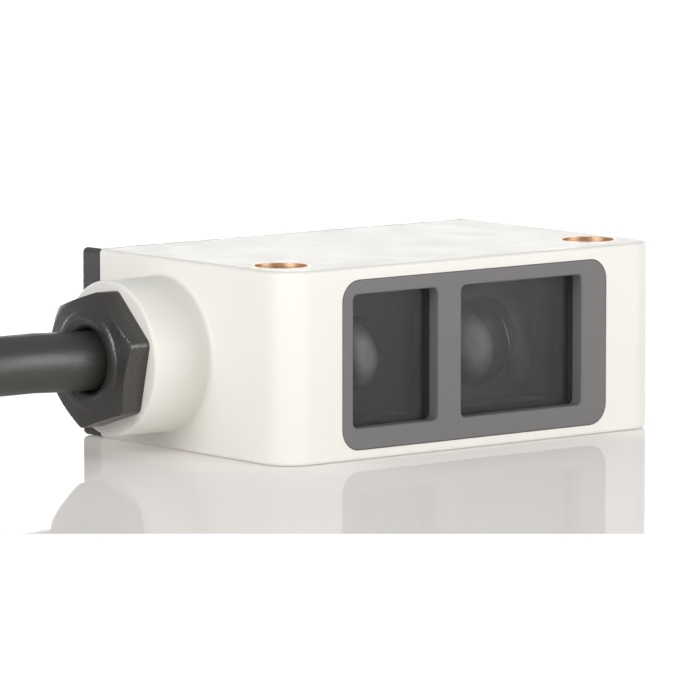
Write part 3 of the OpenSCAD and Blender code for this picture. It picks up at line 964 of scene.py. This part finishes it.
@dataclass
class Gland:
    """Black hexagonal gland nut with a bell mouth round the cable.

    Attributes:
        across: width across the flats.
        turn: angle of a corner from +Y towards +Z, in degrees.
        corner: rounding of the six corners.
        mouth: radius of the round-over where the cable enters.
        bore: radius of the cable's way through.
        lip: how far the mouth's lip stands out from the nut's flat face.
        lip_round: radius of the lip's outside.
    """

    across: float = 10.4
    turn: float = 43.0
    corner: float = 0.4
    mouth: float = 0.9
    bore: float = 2.56
    lip: float = 0.24
    lip_round: float = 1.2

    def build(self) -> None:
        """Builds the nut with its shank."""
        box = Box.of("gland_nut")
        seat = Box.of("housing").low.x
        centre = box.centre
        flat_r, corner_r = self.across / 2, self.across / math.sqrt(3)
        head = self.hexagon(box.low.x, seat, centre, corner_r)
        chamfer = (corner_r - flat_r) * math.tan(math.radians(30))
        face = box.low.x + self.lip
        start = math.degrees(math.acos(self.lip / self.lip_round - 1))
        crest = (box.low.x + self.lip_round, self.bore + self.mouth + 0.05)
        outside = [
            (seat, 0), (seat, corner_r), (face + chamfer, corner_r), (face, flat_r - 0.15),
            *arc(crest, self.lip_round, start, 180, 10), (box.low.x, 0),
        ]
        head.keep(Solid.turned(outside, centre, X, 96))
        shank_r, sunk = Box.of("gland_seal").size.y / 2, seat - 0.5
        head.join(Solid.rod((sunk, *centre.yz), X, shank_r, box.high.x - sunk))
        mouth_r, before, behind = self.bore + self.mouth, box.low.x - PAST, box.high.x + PAST
        mouth = arc((box.low.x + self.mouth, mouth_r), self.mouth, 180, 270, 8)
        bore = [(before, 0), (before, mouth_r), *mouth, (behind, self.bore), (behind, 0)]
        head.cut(Solid.turned(bore, centre, X, 72))
        head.piece("gland_nut_moulding", Look.GLAND, ["gland_nut"])

    def hexagon(self, low: float, high: float, centre: Vector, radius: float) -> Solid:
        """Gives the six-sided prism of the nut's head, from its front to its seat."""
        head = Solid.prism(6, radius, high - low).swung(math.pi / 2, "Y")
        head.bm.verts.ensure_lookup_table()
        first = head.bm.verts[0].co
        turn = math.radians(self.turn) - math.atan2(first.z, first.y)
        head.swung(turn, "X").moved(((low + high) / 2, *centre.yz))
        return head.soften(along(X), self.corner, 3)


@dataclass
class RearCover:
    """Dark rear cover with its two adjusters and two indicators.

    Attributes:
        edge: rounding of every edge but those at the joint.
        seam: chamfer at the joint with the case.
        lip: inset, depth and wall of the lip inside the case.
        pegs: inset along X, inset along Z and radius of the pegs.
        clear: clearance round an adjuster or a light pipe.
        neck: radius of an adjuster's spigot.
        flange: how far the flange of a light pipe stands out.
    """

    edge: float = 0.45
    seam: float = 0.1
    lip: Point = (0.85, 2.2, 1.1)
    pegs: Point = (6.2, 4.6, 0.8)
    clear: float = 0.04
    neck: float = 0.8
    flange: float = 0.5

    def build(self) -> None:
        """Builds the cover, the adjusters and the light pipes."""
        self.cover()
        for node, slot in zip(ADJUSTERS, (2.8, 2.4)):
            self.adjuster(node, slot)
        self.pipe("power_light_pipe", Look.GREEN_PIPE)
        self.pipe("output_light_pipe", Look.AMBER_PIPE)

    def cover(self) -> None:
        """Builds the cover with its lip, its pegs and its four round openings."""
        whole = Box.of("rear_cover")
        joint = Box.of("housing").high.y
        plate = Solid.block(whole.to(Y, low=joint))
        plate.soften(lambda e: not at(Y, joint)(e), self.edge, 5)
        plate.soften(at(Y, joint), self.seam, 1)
        inset, depth, wall = self.lip
        sunk = joint + 0.5
        outside = Box.of("cover_gasket").grown(-inset).to(Y, joint - depth, sunk)
        inside = outside.grown(-wall).to(Y, joint - depth - PAST, joint)
        plate.join(Solid.bar(outside, Y, 0.3, 3).cut(Solid.block(inside)))
        from_x, from_z, radius = self.pegs
        for x in (whole.low.x + from_x, whole.high.x - from_x):
            for z in (whole.low.z + from_z, whole.high.z - from_z):
                plate.join(Solid.rod((x, whole.low.y, z), Y, radius, sunk - whole.low.y))
        for node in ADJUSTERS:
            plate.cut(self.opening(Box.of(node), whole, 0.35), *self.marks(Box.of(node), whole))
        for node in ("power_light_pipe", "output_light_pipe"):
            plate.cut(self.opening(Box.of(node).grown(-self.flange), whole, 0.15))
        plate.piece("cover_moulding", Look.COVER, ["rear_cover"])

    def opening(self, turned: Box, whole: Box, flare: float) -> Solid:
        """Gives a round opening for a turned piece, with a flared mouth."""
        radius = turned.size.x / 2 + self.clear
        low, high = whole.low.y - PAST, whole.high.y
        profile = [
            (low, 0), (low, radius), (high - flare, radius), (high, radius + flare),
            (high + PAST, radius + flare), (high + PAST, 0),
        ]
        return Solid.turned(profile, turned.centre, Y)

    def marks(self, turned: Box, whole: Box) -> list[Solid]:
        """Gives the sunk ticks round an adjuster, from its low to its high end."""
        end, step, half, depth, start = 120, 40, 0.13, 0.25, 2.55
        place = (turned.centre.x, 0, turned.centre.z)
        ticks = []
        for angle in range(-end, end + 1, step):
            length = 1.0 if abs(angle) == end else 0.6
            tick = Solid.block(Box(
                Vector((-half, whole.high.y - depth, start)),
                Vector((half, whole.high.y + PAST, start + length)),
            ))
            ticks.append(tick.swung(math.radians(angle), "Y").moved(place))
        return ticks

    def adjuster(self, node: str, slot_length: float) -> None:
        """Builds one slotted adjuster, with a groove for its O-ring."""
        box, joint = Box.of(node), Box.of("housing").high.y
        radius, edge, groove, slot_depth = box.size.x / 2, 0.15, 0.5, 0.5
        bottom, top = box.low.y, box.high.y
        shoulder, seal_low, seal_high = joint - 1.5, joint + 0.7, joint + 1.5
        profile = [
            (bottom, 0), (bottom, self.neck), (shoulder, self.neck), (shoulder, radius),
            (seal_low, radius), (seal_low, radius - groove), (seal_high, radius - groove),
            (seal_high, radius), (top - edge, radius), (top, radius - edge), (top, 0),
        ]
        rotor = Solid.turned(profile, box.centre, Y, 48)
        half = Vector((slot_length / 2, slot_depth, 0.3))
        middle = Vector((box.centre.x, top, box.centre.z))
        slot = Box(middle - half, middle + half).to(Y, high=top + PAST)
        rotor.cut(Solid.bar(slot, Y, 0.2, 3), self.arrow(box.centre, top))
        rotor.piece(f"{node}_rotor", Look.ADJUSTER, [node], node)

    def arrow(self, centre: Vector, top: float) -> Solid:
        """Gives the sunk arrow head that shows which way an adjuster points."""
        size, sunk, ahead = 0.42, 0.2, 1.0
        head = Solid.prism(3, size, 1).swung(-math.pi / 2, "X")
        first = max(head.bm.verts, key=lambda v: v.co.z).co
        head.swung(-math.atan2(first.x, first.z), "Y")
        return head.moved((centre.x, top + 0.5 - sunk, centre.z + ahead))

    def pipe(self, node: str, look: Look) -> None:
        """Builds one light pipe with a domed end."""
        box, joint = Box.of(node), Box.of("housing").high.y
        wide, radius, dome_r = box.size.x / 2, box.size.x / 2 - self.flange, 2.2
        low, high = joint - 0.9, joint - 0.1
        reach = math.degrees(math.asin(radius / dome_r))
        dome = arc((box.high.y - dome_r, 0), dome_r, reach, 0, 8)
        profile = [
            (box.low.y, 0), (box.low.y, radius), (low, radius), (low, wide), (high, wide),
            (high, radius), *dome,
        ]
        shape = Solid.turned(profile, box.centre, Y, 40)
        shape.piece(f"{node}_moulding", look, [node])


# ------------------------------------------------------------------ cable


def ease(share: float) -> float:
    """Eases from 0 to 1."""
    u = max(0.0, min(1.0, share))
    return u * u * (3 - 2 * u)


@dataclass
class Cable:
    """The pre-wired cable: its run to the surface, its hank, its ties and its bare cores.

    Lengths are in metres. The cable is folded into long loops, wound from the outside in,
    then from the inside out, one layer on the other. A place on a loop is counted in legs:
    0 to 1 the straight side near the gland, 1 to 2 the far bend, 2 to 3 the other side,
    3 to 4 the near bend.

    Attributes:
        thick: diameter of the jacket.
        length: real length, gland to the end of the jacket; not used.
        near: middle of the near bends and the height of the hank's underside.
        straight: length of the straight sides.
        outer_r: radius of the outermost bend, at the middle of the cable.
        wide: loops side by side in a layer.
        loops: whole loops.
        jacket_end: place on the last loop at which the jacket ends.
        steps_at: place at which the loops of each layer start to step sideways.
        climbs_at: place at which the last loop of each layer starts to climb.
        turn_over: legs that a step or a climb takes.
        straight_to: where the cable starts to sink and to bend aside.
        sink, aside: run in which it sinks, and in which it reaches the hank's outer loop.
        lift: how far it rises before that.
        core_names: the cores' nodes.
        core_r, strand_r: radius of a core and of its bare end.
        core_tips: places at which the cores' insulation ends.
        bare: legs of strands past that.
        tie_x: where the ties are.
    """

    thick: float = 0.005
    length: float = 2.0
    near: Point = (-0.08, 0.023, 0.0008)
    straight: float = 0.035
    outer_r: float = 0.025
    wide: int = 4
    loops: int = 10
    jacket_end: float = 2.6
    steps_at: Sequence[float] = (3.5, 2.5, 1.0)
    climbs_at: Sequence[float] = (3.0, 1.5, 9.0)
    turn_over: float = 0.5
    straight_to: float = -0.038
    sink: float = 0.026
    aside: float = 0.042
    lift: float = 0.0002
    core_names: Sequence[str] = ("core_brown", "core_white", "core_blue", "core_black")
    core_r: float = 0.00055
    strand_r: float = 0.0003
    core_tips: Sequence[float] = (3.85, 3.65, 3.75, 3.55)
    bare: float = 0.16
    tie_x: float = -0.101

    def build(self) -> None:
        cable = self.tube("cable_jacket_run", self.line(), self.thick / 2, Look.JACKET,
                          ["cable", "cable_coil", "cable_tail"])
        extras = [self.tie("near", -1), self.tie("far", 1)]
        looks = (Look.BROWN, Look.WHITE, Look.BLUE, Look.BLACK)
        for i, (name, look) in enumerate(zip(self.core_names, looks)):
            tip = self.core_tips[i]
            extras.append(self.tube(f"{name}_wire", self.core(i, self.jacket_end - 0.05, tip),
                                    self.core_r, look, [name]))
            extras.append(self.tube(f"{name}_strands", self.core(i, tip - 0.02, tip + self.bare),
                                    self.strand_r, Look.TINNED, ["core_ends"]))
        gland = Box.of("gland_nut")
        gland.centre.y * MM
        gland.centre.z * MM

    def at_place(self, place: float, radius: float, height: float) -> Vector:
        """Gives a point of the hank at a place counted in legs."""
        leg = min(int(place), 3)
        share = place - leg
        a = math.pi * share
        x, y, _ = self.near
        far = x - self.straight
        return Vector((
            (x - share * self.straight, far - radius * math.sin(a),
             far + share * self.straight, x + radius * math.sin(a))[leg],
            y + radius * (-1, -math.cos(a), 1, math.cos(a))[leg],
            height,
        ))

    def loop(self, number: int, place: float) -> tuple[float, float]:
        """Gives the bend radius and height of a loop at a place.

        Each loop steps sideways to the next one, and the last loop of a layer climbs to the
        next layer before the loops beside it step.

        Args:
            number: the loop, from 0.
            place: the place on it, in legs.

        Returns:
            Radius and height.
        """
        layer, count = divmod(number, self.wide)
        inward = layer % 2 == 0
        track = count if inward else self.wide - 1 - count
        radius = self.outer_r - track * self.thick
        height = self.near[2] + (layer + 0.5) * self.thick
        if count == self.wide - 1:
            climbed = ease((place - self.climbs_at[layer]) / self.turn_over)
            return radius, height + self.thick * climbed
        step = -self.thick if inward else self.thick
        return radius + step * ease((place - self.steps_at[layer]) / self.turn_over), height

    def line(self) -> list[Vector]:
        """Gives the cable's whole centreline."""
        gland = Box.of("gland_nut").centre * MM
        inside, rise_from, rise_over, bend = -18, -30, 4, round(self.straight_to / MM)
        spacing, per_leg = -2, 24
        side = self.near[1] - self.outer_r
        fall = gland.z + self.lift - self.near[2] - self.thick / 2
        line = [
            Vector((x * MM, gland.y, gland.z + self.lift * ease((rise_from - x) / rise_over)))
            for x in range(inside, bend, spacing)
        ]
        for x in range(bend, round(self.near[0] / MM), spacing):
            past = self.straight_to - x * MM
            line.append(Vector((
                x * MM,
                gland.y - (gland.y - side) * ease(past / self.aside),
                gland.z + self.lift - fall * ease(past / self.sink),
            )))
        for number in range(self.loops + 1):
            last = 4.0 if number < self.loops else self.jacket_end + 0.01
            places = [k / per_leg for k in range(4 * per_leg) if k / per_leg < last]
            line += [self.at_place(p, *self.loop(number, p)) for p in places]
        line.append(self.at_place(self.jacket_end, *self.loop(self.loops, self.jacket_end)))
        return line

    def core(self, index: int, start: float, end: float) -> list[Vector]:
        """Gives the centreline of one core, or of its bare end, between two places."""
        apart, lie_apart, points = 0.00075, 0.0013, 32
        tail_r, tail_z = self.loop(self.loops, self.jacket_end)
        first_r = tail_r + (apart if index % 2 == 0 else -apart)
        first_z = tail_z + (apart if index < 2 else -apart)
        lie_r = tail_r - 0.002 + (3, 1, 2, 0)[index] * lie_apart
        lie_z = tail_z - self.thick / 2 + self.core_r
        spread = 0.6 if index < 2 else 0.3
        line = []
        for k in range(points + 1):
            place = start + (end - start) * k / points
            u = ease((place - self.jacket_end) / spread)
            line.append(self.at_place(
                place, first_r + u * (lie_r - first_r), first_z + u * (lie_z - first_z)))
        return line

    def tube(self, name: str, line: Sequence[Vector], radius: float, look: Look,
             nodes: Sequence[str]) -> bpy.types.Object:
        """Builds a round cord along a line."""
        curve = bpy.data.curves.new(name, "CURVE")
        curve.dimensions = "3D"
        curve.bevel_depth = radius
        curve.bevel_resolution = 6
        curve.use_fill_caps = True
        spline = curve.splines.new("POLY")
        spline.points.add(len(line) - 1)
        for point, place in zip(spline.points, line):
            point.co = (*place, 1)
        spline.use_smooth = True
        return show(name, curve, look, nodes)

    def tie(self, name: str, side: int) -> bpy.types.Object:
        """Builds one nylon tie round a straight side of the hank.

        Args:
            name: which side it is round.
            side: -1 for the side towards the windows' front, 1 for the other.

        Returns:
            The tie.
        """
        thick, half, lock, head_half, layers = 0.8, 1.8, 3.0, 2.6, 3
        x, y = self.tie_x / MM, self.near[1] / MM
        inner = (self.outer_r - (self.wide - 0.5) * self.thick) / MM
        outer = (self.outer_r + self.thick / 2) / MM
        base = self.near[2] / MM
        top = base + layers * self.thick / MM

        def across(half_x: float, near: float, far: float, low: float, high: float) -> Box:
            """Gives a box from its half width, its reach aside and its heights."""
            ends = sorted((y + side * near, y + side * far))
            return Box(Vector((x - half_x, ends[0], low)), Vector((x + half_x, ends[1], high)))

        back = inner - thick
        band = Solid.bar(across(half, back, outer + thick, base - thick, top + thick), X, 1.2, 5)
        band.soften(at(X, x - half, x + half), 0.1, 2)
        band.cut(Solid.bar(across(half * 2, inner - 0.1, outer + 0.1, base, top + 0.02), X, 0.6, 5))
        head = Solid.block(across(head_half, back - lock, inner - 0.4, base + 3, base + 8))
        end = Solid.block(across(half, back - 1.9, back - 1.1, base + 1.5, base + 9.5))
        band.join(head.soften(along(X), 0.5, 3), end.soften(along(Y), 0.8, 3))
        return band.piece(f"{name}_tie", Look.TIE, ["coil_ties"])


# ------------------------------------------------------------------ inside and stage


class Inside:
    """The hidden pieces, whose shapes are the frame's own."""

    LOOKS = {
        "optics_holder": Look.OPTICS, "emitter_led": Look.LED, "receiver_photodiode": Look.CHIP,
        "shield_can": Look.CAN, "main_board": Look.BOARD, "signal_chip": Look.CHIP,
        "board_components": Look.PARTS, "indicator_leds": Look.LED, "lead_brown": Look.BROWN,
        "lead_white": Look.WHITE, "lead_blue": Look.BLUE, "lead_black": Look.BLACK,
        "cover_gasket": Look.SEAL, "sensitivity_trimmer": Look.TRIMMER,
        "selector_switch": Look.CHIP, "adjuster_seals": Look.SEAL, "gland_washer": Look.WASHER,
        "gland_seal": Look.SEAL,
    }

    def dress(self) -> None:
        """Gives each hidden piece its finish."""
        for node, look in self.LOOKS.items():
            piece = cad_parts[node]
            piece.data.materials.clear()
            piece.data.materials.append(look.material)
            LOG.info("%s keeps its own shape", node)


@dataclass(frozen=True)
class Lamp:
    """One soft lamp that faces the sensor.

    Attributes:
        name: its name.
        azimuth: where it stands round the sensor, from the way the windows look.
        elevation: how high it stands, in degrees.
        distance: how far it stands.
        width: its width.
        height: its height.
        glow: brightness of its face, where 1 is white.
    """

    name: str
    azimuth: float
    elevation: float
    distance: float
    width: float
    height: float
    glow: float

    def build(self) -> None:
        """Puts the lamp into the scene."""
        data = bpy.data.lights.new(self.name, "AREA")
        data.shape = "RECTANGLE"
        data.size, data.size_y = self.width, self.height
        data.energy = self.glow * math.pi * self.width * self.height
        lamp = stand(self.name, data)
        away = towards(self.azimuth, self.elevation)
        lamp.location = away * self.distance
        lamp.rotation_mode = "QUATERNION"
        lamp.rotation_quaternion = away.to_track_quat("Z", "Y")


@dataclass
class Studio:
    """Camera, floor and soft light.

    Attributes:
        azimuth: where the camera stands round the sensor, in degrees.
        elevation: how high it stands, in degrees.
        distance: how far it stands from its aim.
        aim: the point that it looks at.
        lens: focal length, in millimetres.
        reach: how far the ground reaches to each side.
        gap: how far it lies under the sensor.
        sheet_front: where the glossy sheet ends, towards the camera.
        sheet_colour: colour of the glossy sheet.
        sheet_gloss: share of the sheet's gloss coat.
        sheet_fade: how the sheet turns white, as (distance in metres, share).
        glow: brightness of the back-lit sheet.
        table_glow: how much brighter the table glows than the sheet.
        fill: brightness of the light from all round.
        lamps: the soft lamps.
    """

    azimuth: float = -39.16
    elevation: float = 6.85
    distance: float = 0.5216
    aim: Point = (-0.01623, -0.00831, 0.00973)
    lens: float = 329.45
    reach: float = 6.0
    gap: float = 0.00005
    sheet_front: float = 0.0525
    sheet_colour: Colour = (0.80, 0.775, 0.755)
    sheet_gloss: float = 0.36
    sheet_fade: Sequence[tuple[float, float]] = ((0.07, 0.0), (0.12, 1.0))
    glow: float = 0.2
    table_glow: float = 1.6
    fill: float = 0.42
    lamps: Sequence[Lamp] = (
        Lamp("backdrop", 141.0, 7.5, 2.6, 4.5, 0.66, 3.4),
        Lamp("front_box", 26.0, 14.0, 1.0, 0.6, 0.6, 4.9),
        Lamp("end_box", -80.0, 14.0, 1.0, 0.6, 0.6, 6.2),
    )

    def camera(self) -> None:
        """Makes the camera."""
        back = towards(self.azimuth, self.elevation)
        data = bpy.data.cameras.new("camera")
        data.lens = self.lens
        data.sensor_width = 36.0
        data.clip_start = 0.01
        data.clip_end = 20.0
        camera = stand("camera", data)
        camera.location = Vector(self.aim) + back * self.distance
        camera.rotation_mode = "QUATERNION"
        camera.rotation_quaternion = (-back).to_track_quat("-Z", "Y")
        bpy.context.scene.camera = camera

    def floor(self) -> None:
        """Makes the glossy sheet that the sensor lies on and the matt table in front of it."""
        sheet = self.ground("glossy_sheet", -self.reach, self.sheet_front)
        table = self.ground("matt_table", self.sheet_front, self.reach)
        white, grain = (0.97,) * 3, 300.0
        graph = Graph("look_sheet")
        paler = graph.ramp(graph.length(graph.place()), *self.sheet_fade)
        dimmed = tuple(c / self.table_glow for c in self.sheet_colour)
        wear = graph.noise(grain) * 0.02
        sheet.data.materials.append(graph.finish(
            Base_Color=graph.mix(paler, self.sheet_colour, white),
            Roughness=0.5,
            Specular_IOR_Level=0.0,
            Coat_Weight=wear + self.sheet_gloss,
            Coat_Roughness=0.04,
            Emission_Color=graph.mix(paler, dimmed, (1.0, 1.0, 1.0)),
            Emission_Strength=self.glow * self.table_glow,
        ))
        graph = Graph("look_table")
        table.data.materials.append(graph.finish(
            Base_Color=graph.mix(graph.noise(grain), (0.96,) * 3, (0.98,) * 3),
            Roughness=0.7,
            Specular_IOR_Level=0.0,
            Emission_Color=(1.0, 1.0, 1.0),
            Emission_Strength=self.glow * self.table_glow,
        ))

    def ground(self, name: str, back: float, front: float) -> bpy.types.Object:
        """Makes a part of the ground between two distances towards the camera, in metres."""
        bm = bmesh.new()
        bmesh.ops.create_grid(bm, x_segments=1, y_segments=1, size=self.reach)
        for vert in bm.verts:
            vert.co.y = -front if vert.co.y < 0 else -back
        ground = Solid(bm).swung(math.radians(self.azimuth), "Z").moved((0, 0, -self.gap))
        return stand(name, ground.mesh(name))

    def light(self) -> None:
        """Lights the sensor with a bright backdrop and soft lamps at its front and its end."""
        world = bpy.data.worlds.new("tent")
        world.use_nodes = True
        background = world.node_tree.nodes["Background"]
        background.inputs["Color"].default_value = (1, 1, 1, 1)
        background.inputs["Strength"].default_value = self.fill
        bpy.context.scene.world = world
        bpy.context.scene.view_settings.view_transform = "Standard"
        for lamp in self.lamps:
            lamp.build()


def towards(azimuth: float, elevation: float) -> Vector:
    """Gives the direction to a place round the sensor, from angles in degrees.

    Args:
        azimuth: 0 is the way the windows look, and -90 the way the cable leaves.
        elevation: angle above the surface.

    Returns:
        A unit vector.
    """
    a, e = math.radians(azimuth), math.radians(elevation)
    return Vector((math.sin(a) * math.cos(e), -math.cos(a) * math.cos(e), math.sin(e)))


def main() -> None:
    """Builds the camera, the cable and every sub-assembly in order."""
    logging.basicConfig(level=logging.INFO, format="%(name)s: %(message)s")
    studio = Studio()
    studio.camera()
    Cable().build()
    Housing().build()
    Front().build()
    Gland().build()
    RearCover().build()
    Inside().dress()
    studio.floor()
    studio.light()


if __name__ == "__main__":
    main()
